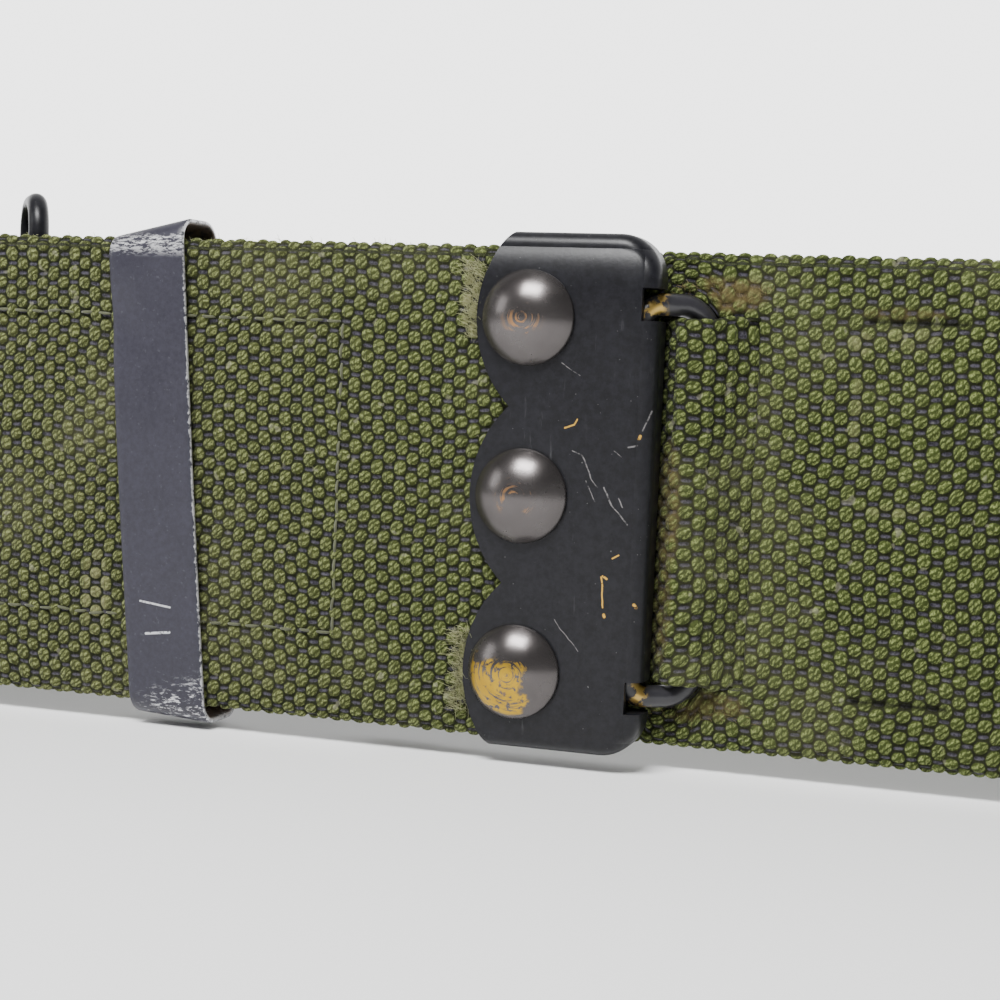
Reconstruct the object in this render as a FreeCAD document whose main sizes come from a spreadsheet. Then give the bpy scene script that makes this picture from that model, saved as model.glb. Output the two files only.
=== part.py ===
import FreeCAD, Part
import math
import os
import Sketcher

# Webbing equipment belt, closed into a standing loop, with a riveted claw buckle.
# +X runs along the front straight, -Y faces the buckle's front, +Z is up.
# The origin is the centre of the loop's footprint, at the lowest point of the keeper.

DIMENSIONS = [
    ("webbing_width", 57.0), ("webbing_thick", 3.0), ("middle_height", 31.66),
    ("front_depth", -97.5),       # y of the buckle strap's front face
    ("tail_depth", -92.0),        # y of the tail strap's front face
    ("rear_middle", 100.0),       # y of the middle of the rear straight
    ("left_bend_x", -70.0), ("right_bend_x", 72.75), ("tail_hinge_x", 58.0), ("body_gap", 0.3),
    ("slot_first_x", 16.3), ("slot_length", 11.6), ("slot_pitch", 23.6), ("slot_height", 0.8),
    ("slot_offset", 21.5), ("window_half_height", 24.4), ("tail_end_x", -18.0),
    ("bridge_half_height", 20.2), ("bridge_thick", 2.2), ("bridge_rise", 4.4),
    ("strap_end_x", 11.0), ("rivet_x", 2.3), ("rivet_pitch", 20.5), ("rivet_hole_radius", 2.0),
    ("plate_top", 30.4), ("plate_bottom", 29.6), ("plate_depth", 5.0), ("plate_sheet", 1.0), ("curl_x", 15.0),
    ("curl_outer", 2.5), ("curl_bore", 1.4), ("lobe_centre_x", 10.3), ("lobe_radius", 14.3),
    ("plate_corner", 5.0), ("plate_bend", 1.8), ("plate_back_bend", 0.9),
    ("notch_low", 20.6), ("notch_high", 24.3), ("notch_bite", 0.6), ("clamp_corner", 2.5),
    ("clamp_left_x", -2.0), ("clamp_right_x", 10.8), ("clamp_half_height", 27.0), ("clamp_thick", 1.0),
    ("cap_radius", 5.55), ("cap_height", 3.0), ("cap_rim", 0.4), ("cap_sheet", 0.5),
    ("post_head_radius", 4.2), ("post_head_thick", 0.8), ("shank_radius", 1.95), ("burr_radius", 4.4),
    ("burr_thick", 0.7), ("peened_radius", 2.8), ("peened_thick", 0.4),
    ("patch_left_x", -69.5), ("patch_right_x", -19.0), ("patch_half_height", 22.0), ("patch_thick", 2.5),
    ("claw_wire_radius", 1.3), ("claw_half_height", 22.6), ("claw_reach", 8.33), ("claw_tilt", 32.5),
    ("claw_corner", 2.4), ("claw_curve", 3.6), ("claw_tip_length", 4.0),
    ("keeper_x", -44.9), ("keeper_width", 10.2), ("keeper_sheet", 0.7), ("keeper_depth", 10.0),
    ("keeper_half_height", 31.35), ("keeper_corner", 3.2), ("keeper_tilt", 4.7), ("keeper_setback", 3.75),
    ("hanger_x", -67.4), ("hanger_wire_radius", 1.3), ("hanger_width", 10.4), ("hanger_height", 25.4),
    ("hanger_base_z", 39.8), ("hanger_corner", 4.0), ("hanger_turn", 38.0),
    ("barrel_bore", 1.4), ("barrel_radius", 2.1), ("barrel_height", 14.0), ("flange_thick", 0.7),
    ("flange_right_x", -57.5), ("flange_rivet_x", -61.5), ("flange_rivet_rise", 4.5),
    ("flange_rivet_radius", 1.0), ("flange_rivet_head", 2.0), ("flange_rivet_cap", 0.6),
    ("tip_length", 8.6), ("tip_sheet", 0.5),
]

doc = FreeCAD.newDocument("webbing_belt")
sizes = doc.addObject("Spreadsheet::Sheet", "sizes")
for row, (alias, value) in enumerate(DIMENSIONS, start=1):
    sizes.set(f"A{row}", alias)
    sizes.set(f"B{row}", str(value))
    sizes.setAlias(f"B{row}", alias)
doc.recompute()

SUB_PARTS = []


def size(alias):
    """The value of one cell of the sheet."""
    return float(sizes.get(alias))


def vector(x, y, z=0.0):
    return FreeCAD.Vector(x, y, z)


# --- helpers for bodies, sketches and features ---

def new_body(label):
    body = doc.addObject("PartDesign::Body", label)
    body.Label = label
    SUB_PARTS.append(body)
    return body


def place(obj, x=None, y=None, z=None):
    """Bind the parts of an object's position to formulas of the sheet."""
    for axis, formula in (("x", x), ("y", y), ("z", z)):
        if formula:
            obj.setExpression(f"Placement.Base.{axis}", formula)


def turn(obj, axis, formula):
    """Turn an object about its own origin by an angle from the sheet, in degrees."""
    obj.Placement = FreeCAD.Placement(obj.Placement.Base, FreeCAD.Rotation(axis, 1.0))
    obj.setExpression("Placement.Rotation.Angle", f"({formula}) * 1 deg")


def new_sketch(body, role, offset=None):
    """Empty sketch on one of the body's origin planes, moved along its normal by a formula."""
    sketch = body.newObject("Sketcher::SketchObject", body.Name + "_sketch")
    plane = [feature for feature in body.Origin.OriginFeatures if feature.Role == role][0]
    sketch.AttachmentSupport = [(plane, "")]
    sketch.MapMode = "FlatFace"
    if offset:
        sketch.setExpression("AttachmentOffset.Base.z", offset)
    return sketch


def pin(sketch, kind, geometry, point, formula):
    """Hold a point of the sketch at a bound distance from the sketch's origin."""
    index = sketch.addConstraint(Sketcher.Constraint(kind, -1, 1, geometry, point, 1.0))
    sketch.setExpression(f"Constraints[{index}]", formula)


def rectangle(sketch, left, right, low, high):
    """Rectangle whose four sides are bound to formulas."""
    corners = [vector(0, 0), vector(1, 0), vector(1, 1), vector(0, 1)]
    first = sketch.GeometryCount
    for number in range(4):
        sketch.addGeometry(Part.LineSegment(corners[number], corners[(number + 1) % 4]), False)
    for number in range(4):
        following = first + (number + 1) % 4
        sketch.addConstraint(Sketcher.Constraint("Coincident", first + number, 2, following, 1))
    for number, kind in enumerate(("Horizontal", "Vertical", "Horizontal", "Vertical")):
        sketch.addConstraint(Sketcher.Constraint(kind, first + number))
    pin(sketch, "DistanceX", first, 1, left)
    pin(sketch, "DistanceY", first, 1, low)
    pin(sketch, "DistanceX", first + 2, 1, right)
    pin(sketch, "DistanceY", first + 2, 1, high)


def circle(sketch, x, y, radius):
    """Circle whose centre and radius are bound to formulas."""
    index = sketch.addGeometry(Part.Circle(vector(1, 1), vector(0, 0, 1), 1.0), False)
    pin(sketch, "DistanceX", index, 3, x)
    pin(sketch, "DistanceY", index, 3, y)
    held = sketch.addConstraint(Sketcher.Constraint("Radius", index, 1.0))
    sketch.setExpression(f"Constraints[{held}]", radius)


def outline(sketch, pieces):
    """Closed or open run of lines and three-point arcs, given as tuples of points."""
    for points in pieces:
        if len(points) == 2:
            sketch.addGeometry(Part.LineSegment(*points), False)
        else:
            sketch.addGeometry(Part.Arc(*points), False)


def pad(body, sketch, length, backwards=False):
    feature = body.newObject("PartDesign::Pad", body.Name + "_pad")
    feature.Profile = sketch
    feature.setExpression("Length", length)
    feature.Reversed = backwards
    doc.recompute()
    return feature


def pocket(body, sketch, length=None, backwards=False):
    """Cut to a bound depth, or through everything both ways, and make sure that it cuts."""
    before = body.Shape.Volume
    feature = body.newObject("PartDesign::Pocket", body.Name + "_pocket")
    feature.Profile = sketch
    feature.Reversed = backwards
    if length:
        feature.setExpression("Length", length)
    else:
        feature.Type = "ThroughAll"
        feature.SideType = "Symmetric"
    doc.recompute()
    if body.Shape.Volume > before - 1e-3:
        raise RuntimeError(f"a pocket of {body.Label} cuts nothing")
    return feature


def revolve(body, sketch, axis="V_Axis"):
    feature = body.newObject("PartDesign::Revolution", body.Name + "_revolution")
    feature.Profile = sketch
    feature.ReferenceAxis = (sketch, [axis])
    feature.Angle = 360
    doc.recompute()
    return feature


def fillet(body, base, radius, wanted):
    """Round the edges of the last feature that the test picks."""
    names = [f"Edge{n}" for n, edge in enumerate(base.Shape.Edges, start=1) if wanted(edge)]
    feature = body.newObject("PartDesign::Fillet", body.Name + "_fillet")
    feature.Base = (base, names)
    feature.setExpression("Radius", radius)
    doc.recompute()
    return feature


def pipe(body, path, profile):
    """Sweep a closed profile along a path sketch."""
    feature = body.newObject("PartDesign::AdditivePipe", body.Name + "_pipe")
    feature.Profile = profile
    feature.Spine = path
    doc.recompute()
    return feature


# --- webbing ---

def slot_boxes(body, numbers, place_at):
    """Cut the upper and lower slits of the numbered slot pairs; place_at gives centre and heading."""
    half_length = size("slot_length") / 2
    reach = size("webbing_thick") * 1.5
    for sign in ("-", ""):
        sketch = new_sketch(body, "XY_Plane", f"{sign}sizes.slot_offset + sizes.slot_height / 2")
        for number in numbers:
            centre, heading = place_at(number)
            along = vector(math.cos(heading), math.sin(heading)) * half_length
            across = vector(-math.sin(heading), math.cos(heading)) * reach
            corners = [centre - along - across, centre + along - across,
                       centre + along + across, centre - along + across]
            outline(sketch, [(corners[n], corners[(n + 1) % 4]) for n in range(4)])
        pocket(body, sketch, "sizes.slot_height")


def slot_middle_x(number):
    """Middle of a slot pair along the front, as if the belt ran straight on."""
    return size("slot_first_x") + size("slot_length") / 2 + number * size("slot_pitch")


def make_belt_webbing_rear():
    """The long run of webbing: the tail's straight, right bend, rear straight and left bend."""
    body = new_body("belt_webbing_rear")
    thick = size("webbing_thick")
    rear = size("rear_middle")
    left_middle = size("front_depth") + thick / 2
    right_middle = size("tail_depth") + thick / 2
    left_x = size("left_bend_x")
    right_x = size("right_bend_x")
    left_radius = (rear - left_middle) / 2
    right_radius = (rear - right_middle) / 2
    start_x = size("tail_hinge_x")

    def run(offset):
        """The points of one face, offset outwards from the middle of the webbing."""
        return [vector(start_x, right_middle - offset), vector(right_x, right_middle - offset),
                vector(right_x + right_radius + offset, rear - right_radius),
                vector(right_x, rear + offset), vector(left_x, rear + offset),
                vector(left_x - left_radius - offset, rear - left_radius),
                vector(left_x, left_middle - offset)]

    outer = run(thick / 2)
    inner = run(-thick / 2)
    sketch = new_sketch(body, "XY_Plane", "-sizes.webbing_width / 2")
    for face in (outer, inner):
        outline(sketch, [face[0:2], face[1:4], face[3:5], face[4:7]])
    outline(sketch, [(outer[0], inner[0]), (outer[6], inner[6])])
    pad(body, sketch, "sizes.webbing_width")

    def on_bend(number):
        past = slot_middle_x(number) - right_x
        if past < 0:
            return vector(right_x + past, right_middle), 0.0
        angle = past / right_radius
        centre = vector(right_x, rear - right_radius)
        return centre + vector(math.sin(angle), -math.cos(angle)) * right_radius, angle

    slot_boxes(body, (2, 3, 4), on_bend)
    place(body, z="sizes.middle_height")


def rivet_holes(body):
    sketch = new_sketch(body, "XZ_Plane")
    for rise in ("-sizes.rivet_pitch", "0", "sizes.rivet_pitch"):
        circle(sketch, "sizes.rivet_x", rise, "sizes.rivet_hole_radius")
    pocket(body, sketch)


def make_buckle_strap():
    """The fixed end of the webbing, from the left bend to inside the buckle plate."""
    body = new_body("buckle_strap")
    sketch = new_sketch(body, "XZ_Plane")
    rectangle(sketch, "sizes.left_bend_x + sizes.body_gap", "sizes.strap_end_x",
              "-sizes.webbing_width / 2", "sizes.webbing_width / 2")
    pad(body, sketch, "sizes.webbing_thick", backwards=True)
    rivet_holes(body)
    place(body, y="sizes.front_depth", z="sizes.middle_height")


def make_tail_strap():
    """The adjusting end: it carries the open slot pair that the claws hold."""
    body = new_body("tail_strap")
    sketch = new_sketch(body, "XY_Plane", "-sizes.webbing_width / 2")
    rectangle(sketch, "sizes.tail_end_x", "sizes.tail_hinge_x - sizes.body_gap",
              "sizes.tail_depth", "sizes.tail_depth + sizes.webbing_thick")
    pad(body, sketch, "sizes.webbing_width")
    window = new_sketch(body, "XZ_Plane")
    rectangle(window, "sizes.slot_first_x", "sizes.slot_first_x + sizes.slot_length",
              "-sizes.window_half_height", "sizes.window_half_height")
    pocket(body, window)
    middle_y = size("tail_depth") + size("webbing_thick") / 2
    slot_boxes(body, (-1, 1), lambda number: (vector(slot_middle_x(number), middle_y), 0.0))
    place(body, z="sizes.middle_height")


def make_slot_bridge():
    """The tongue of webbing between the open slots, arched forwards over the claws."""
    body = new_body("slot_bridge")
    half_length = size("slot_length") / 2
    rise = size("bridge_rise")
    half_thick = size("bridge_thick") / 2
    radius = (half_length ** 2 + rise ** 2) / (4 * rise)
    bend = 2 * math.atan(rise / half_length)
    middle_x = size("slot_first_x") + half_length
    middle_y = size("tail_depth") + size("webbing_thick") / 2

    def face(offset):
        """Start, end and arc points of one face, offset forwards from the tongue's middle."""
        points = []
        crest = vector(middle_x, middle_y - rise + radius)
        for side in (-1, 1):
            foot = vector(middle_x + side * half_length, middle_y - radius)
            foot_radius = radius - offset
            rest = foot + vector(0, foot_radius)
            mid = foot + vector(-side * math.sin(bend / 2), math.cos(bend / 2)) * foot_radius
            joint = foot + vector(-side * math.sin(bend), math.cos(bend)) * foot_radius
            points.append((rest, mid, joint))
        top = crest + vector(0, -(radius + offset))
        return points[0][0], points[1][0], [points[0], (points[0][2], top, points[1][2]), points[1]]

    front = face(half_thick)
    back = face(-half_thick)
    sketch = new_sketch(body, "XY_Plane", "-sizes.bridge_half_height")
    outline(sketch, front[2] + back[2] + [(front[0], back[0]), (front[1], back[1])])
    pad(body, sketch, "2 * sizes.bridge_half_height")
    place(body, z="sizes.middle_height")


def make_tail_tip():
    """Crimped sheet-metal tip over the cut end of the tail."""
    body = new_body("tail_tip")
    sketch = new_sketch(body, "XY_Plane", "-sizes.webbing_width / 2")
    rectangle(sketch, "sizes.tail_end_x - sizes.tip_sheet", "sizes.tail_end_x + sizes.tip_length",
              "sizes.tail_depth - sizes.tip_sheet",
              "sizes.tail_depth + sizes.webbing_thick + sizes.tip_sheet")
    pad(body, sketch, "sizes.webbing_width")
    inside = new_sketch(body, "XY_Plane")
    rectangle(inside, "sizes.tail_end_x", "sizes.tail_end_x + sizes.tip_length + 1",
              "sizes.tail_depth", "sizes.tail_depth + sizes.webbing_thick")
    pocket(body, inside)
    place(body, z="sizes.middle_height")


def flange_rivet_places():
    """Heights of the hanger clip's two rivets above the middle of the webbing."""
    middle = "sizes.hanger_base_z + sizes.hanger_height / 2 - sizes.middle_height"
    return [f"{middle} {sign} sizes.flange_rivet_rise" for sign in ("-", "+")]


def make_reinforcing_patch():
    """Second layer of webbing sewn to the back of the fixed end."""
    body = new_body("reinforcing_patch")
    sketch = new_sketch(body, "XZ_Plane")
    rectangle(sketch, "sizes.patch_left_x", "sizes.patch_right_x",
              "-sizes.patch_half_height", "sizes.patch_half_height")
    pad(body, sketch, "sizes.patch_thick", backwards=True)
    holes = new_sketch(body, "XZ_Plane")
    for rise in flange_rivet_places():
        circle(holes, "sizes.flange_rivet_x", rise, "sizes.flange_rivet_radius")
    pocket(body, holes)
    place(body, y="sizes.front_depth + sizes.webbing_thick", z="sizes.middle_height")


# --- buckle ---

def make_buckle_plate():
    """Formed plate with three rivet lobes on the left and a curled hinge edge on the right."""
    body = new_body("buckle_plate")
    right = size("curl_x") + size("curl_outer")
    corner = size("plate_corner")
    lobe_x = size("lobe_centre_x")
    radius = size("lobe_radius")
    pitch = size("rivet_pitch")
    valley_x = lobe_x - math.sqrt(radius ** 2 - (pitch / 2) ** 2)
    rims = {1: size("plate_top"), -1: size("plate_bottom")}
    rim_x = {sign: lobe_x - math.sqrt(radius ** 2 - (rim - pitch) ** 2) for sign, rim in rims.items()}
    quarter = corner * (1 - math.sqrt(0.5))
    top_left = vector(rim_x[1], rims[1])
    low_left = vector(rim_x[-1], -rims[-1])
    valleys = [vector(valley_x, pitch / 2), vector(valley_x, -pitch / 2)]
    lobe_ends = [top_left] + valleys + [low_left]
    pieces = []
    for number, height in enumerate((pitch, 0.0, -pitch)):
        leftmost = vector(lobe_x - radius, height)
        pieces.append((lobe_ends[number], leftmost, lobe_ends[number + 1]))
    for sign, rim in rims.items():
        edge_end = vector(right - corner, sign * rim)
        side_end = vector(right, sign * (rim - corner))
        pieces.append((vector(rim_x[sign], sign * rim), edge_end))
        pieces.append((edge_end, vector(right - quarter, sign * (rim - quarter)), side_end))
    pieces.append((vector(right, rims[1] - corner), vector(right, corner - rims[-1])))
    sketch = new_sketch(body, "XZ_Plane")
    outline(sketch, pieces)
    pad(body, sketch, "sizes.plate_depth", backwards=True)

    recess = new_sketch(body, "XZ_Plane", "-sizes.plate_sheet")
    rectangle(recess, "sizes.lobe_centre_x - 2 * sizes.lobe_radius",
              "sizes.curl_x - sizes.curl_outer",
              "sizes.plate_sheet - sizes.plate_bottom",
              "sizes.plate_top - sizes.plate_sheet")
    recessed = pocket(body, recess, "sizes.plate_depth")

    def on_front_rim(edge):
        box = edge.BoundBox
        on_front = abs(box.YMax) < 1e-6
        return on_front and edge.CenterOfMass.x > max(rim_x.values()) + 1

    rounded = fillet(body, recessed, "sizes.plate_bend", on_front_rim)

    def on_curl_back(edge):
        box = edge.BoundBox
        on_back = abs(box.YMin - size("plate_depth")) < 1e-6
        return on_back and box.XMax > right - corner + 0.1 and box.XMin > right - corner - 0.1

    fillet(body, rounded, "sizes.plate_back_bend", on_curl_back)
    bore = new_sketch(body, "XY_Plane", "sizes.notch_high")
    circle(bore, "sizes.curl_x", "sizes.curl_outer", "sizes.curl_bore")
    pocket(body, bore, "2 * sizes.notch_high")
    for sign in ("", "-"):
        notch = new_sketch(body, "XZ_Plane", "-sizes.plate_sheet")
        rectangle(notch, "sizes.curl_x - sizes.curl_outer", "sizes.curl_x + 2 * sizes.curl_outer",
                  f"{sign}sizes.notch_low", f"{sign}sizes.notch_high")
        pocket(body, notch, "sizes.plate_depth")
        bite = new_sketch(body, "XZ_Plane")
        rectangle(bite, "sizes.curl_x + sizes.notch_bite", "sizes.curl_x + 2 * sizes.curl_outer",
                  f"{sign}sizes.notch_low", f"{sign}sizes.notch_high")
        pocket(body, bite)
    rivet_holes(body)
    place(body, y="sizes.front_depth - sizes.plate_sheet", z="sizes.middle_height")


def make_clamp_plate():
    """Flat plate behind the webbing that spreads the rivets' load."""
    body = new_body("clamp_plate")
    sketch = new_sketch(body, "XZ_Plane")
    rectangle(sketch, "sizes.clamp_left_x", "sizes.clamp_right_x",
              "-sizes.clamp_half_height", "sizes.clamp_half_height")
    base = pad(body, sketch, "sizes.clamp_thick", backwards=True)
    fillet(body, base, "sizes.clamp_corner", lambda edge: edge.BoundBox.YLength > 0.5 and edge.Length < 1.5)
    rivet_holes(body)
    place(body, y="sizes.front_depth + sizes.webbing_thick", z="sizes.middle_height")


def lathe_profile(body, points):
    """Closed profile turned about the body's Y axis; a middle point makes its stretch an arc."""
    sketch = new_sketch(body, "XY_Plane")
    outline(sketch, points)
    revolve(body, sketch)


def make_rivet(name, formula):
    """One rivet: domed front cap, headed post and rear burr."""
    front = "sizes.front_depth - sizes.plate_sheet"
    height = f"sizes.middle_height + {formula}"
    stack = size("plate_sheet") + size("webbing_thick") + size("clamp_thick")
    radius = size("cap_radius")
    rim = -size("cap_rim")
    top = -size("cap_height")
    sheet = size("cap_sheet")

    def dome(edge, crown):
        """Arc from the rim to the crown of a spherical cap."""
        depth = rim - crown
        ball = (edge ** 2 + depth ** 2) / (2 * depth)
        half_angle = math.asin(edge / ball) / 2
        middle = vector(ball * math.sin(half_angle), crown + ball - ball * math.cos(half_angle))
        return vector(edge, rim), middle, vector(0, crown)

    cap = new_body(f"rivet_cap_{name}")
    outside = dome(radius, top)
    inside = dome(radius - sheet, top + sheet)
    lathe_profile(cap, [outside, inside, (vector(radius, 0), outside[0]),
                        (vector(radius - sheet, 0), inside[0]),
                        (vector(radius - sheet, 0), vector(radius, 0)), (outside[2], inside[2])])

    post = new_body(f"rivet_post_{name}")
    burr_back = stack + size("burr_thick")
    steps = [(0, -size("post_head_thick")), (size("post_head_radius"), -size("post_head_thick")),
             (size("post_head_radius"), 0), (size("shank_radius"), 0),
             (size("shank_radius"), burr_back), (size("peened_radius"), burr_back),
             (size("peened_radius"), burr_back + size("peened_thick")),
             (0, burr_back + size("peened_thick"))]
    points = [vector(*step) for step in steps]
    lathe_profile(post, [(points[n], points[(n + 1) % len(points)]) for n in range(len(points))])

    burr = new_body(f"rivet_burr_{name}")
    sketch = new_sketch(burr, "XZ_Plane", "-sizes.plate_sheet - sizes.webbing_thick - sizes.clamp_thick")
    circle(sketch, "0", "0", "sizes.burr_radius")
    circle(sketch, "0", "0", "sizes.rivet_hole_radius")
    pad(burr, sketch, "sizes.burr_thick", backwards=True)
    for body in (cap, post, burr):
        place(body, "sizes.rivet_x", front, height)


def loop_points(half_height, reach, corner):
    """Corner-rounded outline points of a wire bent in its own plane."""
    quarter = corner * (1 - math.sqrt(0.5))
    return [(vector(0, half_height - corner), vector(quarter, half_height - quarter),
             vector(corner, half_height)),
            (vector(corner, half_height), vector(reach - corner, half_height)),
            (vector(reach - corner, half_height), vector(reach - quarter, half_height - quarter),
             vector(reach, half_height - corner))]


def make_claw_loop():
    """C-shaped wire: a bar in the curled edge, two arms, and tips that point at each other."""
    body = new_body("claw_loop")
    half = size("claw_half_height")
    reach = size("claw_reach")
    corner = size("claw_corner")
    curve = size("claw_curve")
    tip = half - curve - size("claw_tip_length")
    corner_in = corner * (1 - math.sqrt(0.5))
    curve_in = curve * (1 - math.sqrt(0.5))
    path = new_sketch(body, "XZ_Plane")
    pieces = [(vector(0, corner - half), vector(0, half - corner))]
    for sign in (1, -1):
        pieces += [
            (vector(0, sign * (half - corner)), vector(corner_in, sign * (half - corner_in)),
             vector(corner, sign * half)),
            (vector(corner, sign * half), vector(reach - curve, sign * half)),
            (vector(reach - curve, sign * half), vector(reach - curve_in, sign * (half - curve_in)),
             vector(reach, sign * (half - curve))),
            (vector(reach, sign * (half - curve)), vector(reach, sign * tip))]
    outline(path, pieces)
    profile = new_sketch(body, "XY_Plane",
                         "sizes.claw_half_height - sizes.claw_curve - sizes.claw_tip_length")
    circle(profile, "sizes.claw_reach", "0", "sizes.claw_wire_radius")
    wire = pipe(body, path, profile)

    def on_tip(edge):
        return abs(abs(edge.CenterOfMass.z) - tip) < 1e-3 and edge.BoundBox.ZLength < 1e-3

    fillet(body, wire, "0.8 * sizes.claw_wire_radius", on_tip)
    turn(body, vector(0, 0, 1), "sizes.claw_tilt")
    place(body, "sizes.curl_x", "sizes.front_depth - sizes.plate_sheet + sizes.curl_outer",
          "sizes.middle_height")


# --- keeper and hanger ---

def make_keeper():
    """Sheet-metal loop, closed round the strap and its patch, that sits slightly askew."""
    body = new_body("keeper")
    profile = new_sketch(body, "YZ_Plane", "-sizes.keeper_width / 2")
    rectangle(profile, "-sizes.keeper_depth / 2", "sizes.keeper_depth / 2",
              "-sizes.keeper_half_height", "sizes.keeper_half_height")
    block = pad(body, profile, "sizes.keeper_width")
    fillet(body, block, "sizes.keeper_corner", lambda edge: edge.BoundBox.XLength > 1)
    hollow = new_sketch(body, "YZ_Plane")
    depth = size("keeper_depth") / 2 - size("keeper_sheet")
    half = size("keeper_half_height") - size("keeper_sheet")
    corner = size("keeper_corner") - size("keeper_sheet")
    quarter = corner * (1 - math.sqrt(0.5))
    pieces = []
    for sign in (1, -1):
        pieces.append((vector(sign * depth, half - corner), vector(sign * depth, corner - half)))
        pieces.append((vector(corner - depth, sign * half), vector(depth - corner, sign * half)))
        for side in (1, -1):
            pieces.append((vector(side * (depth - corner), sign * half),
                           vector(side * (depth - quarter), sign * (half - quarter)),
                           vector(side * depth, sign * (half - corner))))
    outline(hollow, pieces)
    pocket(body, hollow)
    turn(body, vector(0, -1, 0), "sizes.keeper_tilt")
    place(body, "sizes.keeper_x", "sizes.front_depth + sizes.keeper_setback", "sizes.middle_height")


HANGER_DEPTH = ("sizes.front_depth + sizes.webbing_thick + sizes.patch_thick"
                " + sizes.barrel_radius")


def make_hanger_loop():
    """Closed wire loop whose front leg turns in the barrel of its clip."""
    body = new_body("hanger_loop")
    width = size("hanger_width")
    height = size("hanger_height")
    corner = size("hanger_corner")
    quarter = corner * (1 - math.sqrt(0.5))
    path = new_sketch(body, "XZ_Plane")
    pieces = []
    for side in (0, 1):
        inward = 1 - 2 * side
        leg = side * width
        pieces.append((vector(leg, corner), vector(leg, height - corner)))
        for level in (0, 1):
            upward = 1 - 2 * level
            end = level * height
            pieces.append((vector(leg, end + upward * corner),
                           vector(leg + inward * quarter, end + upward * quarter),
                           vector(leg + inward * corner, end)))
    for level in (0.0, height):
        pieces.append((vector(corner, level), vector(width - corner, level)))
    outline(path, pieces)
    profile = new_sketch(body, "XY_Plane", "sizes.hanger_corner")
    circle(profile, "0", "0", "sizes.hanger_wire_radius")
    pipe(body, path, profile)
    turn(body, vector(0, 0, 1), "90 + sizes.hanger_turn")
    place(body, "sizes.hanger_x", HANGER_DEPTH, "sizes.hanger_base_z")


def make_hanger_clip():
    """Rolled barrel for the hanger loop, with a flange riveted to the patch."""
    body = new_body("hanger_clip")
    sketch = new_sketch(body, "XY_Plane", "-sizes.barrel_height / 2")
    circle(sketch, "0", "0", "sizes.barrel_radius")
    pad(body, sketch, "sizes.barrel_height")
    flange = new_sketch(body, "XY_Plane", "-sizes.barrel_height / 2")
    rectangle(flange, "0", "sizes.flange_right_x - sizes.hanger_x",
              "-sizes.barrel_radius", "sizes.flange_thick - sizes.barrel_radius")
    pad(body, flange, "sizes.barrel_height")
    bore = new_sketch(body, "XY_Plane")
    circle(bore, "0", "0", "sizes.barrel_bore")
    pocket(body, bore)
    holes = new_sketch(body, "XZ_Plane")
    for rise in ("-sizes.flange_rivet_rise", "sizes.flange_rivet_rise"):
        circle(holes, "sizes.flange_rivet_x - sizes.hanger_x", rise, "sizes.flange_rivet_radius")
    pocket(body, holes)
    place(body, "sizes.hanger_x", HANGER_DEPTH, "sizes.hanger_base_z + sizes.hanger_height / 2")


def make_hanger_rivets():
    """The two small rivets that hold the clip's flange to the patch."""
    rivets = []
    patch_front = "sizes.front_depth + sizes.webbing_thick"
    stack = "sizes.patch_thick + sizes.flange_thick"
    for number, rise in enumerate(flange_rivet_places()):
        shank = doc.addObject("Part::Cylinder", f"hanger_rivet_shank_{number}")
        shank.setExpression("Radius", "sizes.flange_rivet_radius")
        shank.setExpression("Height", stack)
        head = doc.addObject("Part::Cylinder", f"hanger_rivet_head_{number}")
        head.setExpression("Radius", "sizes.flange_rivet_head")
        head.setExpression("Height", "sizes.flange_rivet_cap")
        for piece, depth in ((shank, patch_front), (head, f"{patch_front} + {stack}")):
            piece.Placement.Rotation = FreeCAD.Rotation(vector(1, 0, 0), -90)
            place(piece, "sizes.flange_rivet_x", depth, f"sizes.middle_height + {rise}")
        rivet = doc.addObject("Part::Fuse", f"hanger_rivet_{number}")
        rivet.Base = shank
        rivet.Tool = head
        rivets.append(rivet)
    group = doc.addObject("Part::Compound", "hanger_rivets")
    group.Label = "hanger_rivets"
    group.Links = rivets
    SUB_PARTS.append(group)


def check_and_export():
    """Refuse any failed feature or bad shape, then write one STEP file for each sub-part."""
    doc.recompute()
    for obj in doc.Objects:
        if "Invalid" in obj.State or "Error" in obj.State:
            raise RuntimeError(f"{obj.Label} failed: {obj.State}")
    whole = FreeCAD.BoundBox()
    for part in SUB_PARTS:
        if part.Shape.isNull() or not part.Shape.isValid():
            raise RuntimeError(f"{part.Label} has a bad shape")
        whole.add(part.Shape.BoundBox)
    os.makedirs("parts", exist_ok=True)
    for part in SUB_PARTS:
        part.Shape.exportStep(f"parts/{part.Label}.step")
        print(part.Label, len(part.Shape.Solids), round(part.Shape.Volume, 1))
    print("box", whole)


make_belt_webbing_rear()
make_buckle_strap()
make_tail_strap()
make_slot_bridge()
make_tail_tip()
make_reinforcing_patch()
make_buckle_plate()
make_clamp_plate()
for rivet_name, rivet_rise in (("top", "sizes.rivet_pitch"), ("middle", "0"),
                               ("bottom", "-1 * sizes.rivet_pitch")):
    make_rivet(rivet_name, rivet_rise)
make_claw_loop()
make_keeper()
make_hanger_loop()
make_hanger_clip()
make_hanger_rivets()
check_and_export()
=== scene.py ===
import math

import bpy
import numpy as np
from mathutils import Matrix, Vector


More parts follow.
